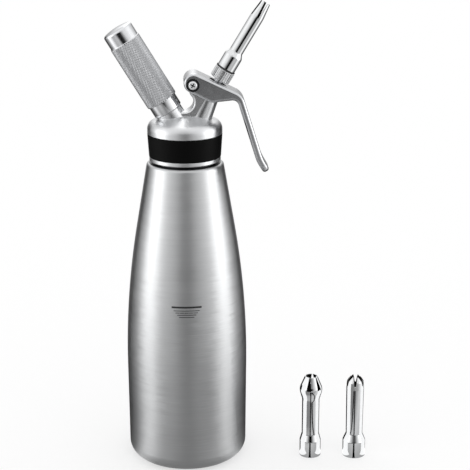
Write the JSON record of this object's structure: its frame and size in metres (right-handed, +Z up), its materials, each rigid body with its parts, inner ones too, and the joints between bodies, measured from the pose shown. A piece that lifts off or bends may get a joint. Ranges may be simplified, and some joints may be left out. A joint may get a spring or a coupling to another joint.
{
  "type": "cream whipper",
  "caption": "Tall steel bottle with a screw-on cast head, squeeze lever, tilted gas charger holder and slotted nozzle, with spare nozzles standing beside it.",
  "frame": {"origin": "centre of the bottle's flat base", "axes": "+Z up along the bottle's axis, +X towards the lever and nozzle, charger holder towards -X"},
  "size_m": [0.2088, 0.0978, 0.3763],
  "materials": {
    "bottle_steel": "brushed round the axis",
    "cast_aluminium": "satin cast",
    "holder_aluminium": "polished and knurled",
    "nozzle_chrome": "bright plated",
    "plated_steel": "bright plated",
    "plain_steel": "plain",
    "brass": "plain turned",
    "black_silicone": "matte",
    "black_rubber": "matte"
  },
  "bodies": {
    "bottle": {"bottle": "bottle_steel"},
    "gasket": {"head_gasket": "black_rubber"},
    "head": {"head_casting": "cast_aluminium", "grip_collar": "black_silicone", "piercing_nipple": "brass", "nipple_seal": "black_rubber", "piercing_pin": "plain_steel", "charger_seal": "black_rubber", "check_sleeve": "black_rubber", "valve_spring": "plain_steel"},
    "charger": {"gas_charger": "plain_steel"},
    "holder": {"charger_holder": "holder_aluminium"},
    "lever": {"lever": "cast_aluminium", "pivot_barrel": "plated_steel", "pivot_screw": "plated_steel"},
    "stem": {"valve_stem": "plain_steel", "plug_seal": "black_rubber", "stem_o_ring": "black_rubber", "spring_cap": "holder_aluminium", "nozzle_adaptor": "plated_steel"},
    "seal": {"nozzle_seal": "black_rubber"},
    "nozzle": {"straight_nozzle": "nozzle_chrome"},
    "tulip": {"tulip_nozzle": "nozzle_chrome"},
    "star": {"star_nozzle": "nozzle_chrome"}
  },
  "joints": [
    {"name": "head_lift", "type": "slide", "parent": "bottle", "child": "gasket", "axis": [0, 0, 1], "range_m": [0, 0.008]},
    {"name": "head_turn", "type": "hinge", "parent": "gasket", "child": "head", "pos_m": [0, 0, 0.26], "axis": [0, 0, 1], "range_deg": [0, 721]},
    {"name": "holder_lift", "type": "slide", "parent": "head", "child": "charger", "axis": [-0.5195, 0, 0.8545], "range_m": [0, 0.004]},
    {"name": "holder_turn", "type": "hinge", "parent": "charger", "child": "holder", "pos_m": [0, 0, 0.2695], "axis": [-0.5195, 0, 0.8545], "range_deg": [0, 721]},
    {"name": "lever_squeeze", "type": "hinge", "parent": "head", "child": "lever", "pos_m": [0.00631, 0, 0.31229], "axis": [0, 1, 0], "range_deg": [0, 13.4], "stiffness_Nm_per_rad": 1.5, "springref_deg": -8.59},
    {"name": "valve_press", "type": "slide", "parent": "head", "child": "stem", "axis": [-0.5165, 0, -0.8563], "range_m": [0, 0.00404], "deforming": ["valve_spring"]},
    {"name": "nozzle_lift", "type": "slide", "parent": "stem", "child": "seal", "axis": [0.5165, 0, 0.8563], "range_m": [0, 0.004]},
    {"name": "nozzle_turn", "type": "hinge", "parent": "seal", "child": "nozzle", "pos_m": [0, 0, 0.2695], "axis": [0.5165, 0, 0.8563], "range_deg": [0, 721]},
    {"name": "tulip_pick_up", "type": "slide", "parent": "bottle", "child": "tulip", "axis": [0, 0, 1], "range_m": [0, 0.08]},
    {"name": "star_pick_up", "type": "slide", "parent": "bottle", "child": "star", "axis": [0, 0, 1], "range_m": [0, 0.08]}
  ],
  "couplings": [
    {"joint": "head_turn", "follows": "head_lift", "rad_per_m": 1570.8},
    {"joint": "holder_turn", "follows": "holder_lift", "rad_per_m": 3141.6},
    {"joint": "lever_squeeze", "follows": "valve_press", "rad_per_m": 57.803},
    {"joint": "nozzle_turn", "follows": "nozzle_lift", "rad_per_m": 3141.6}
  ]
}
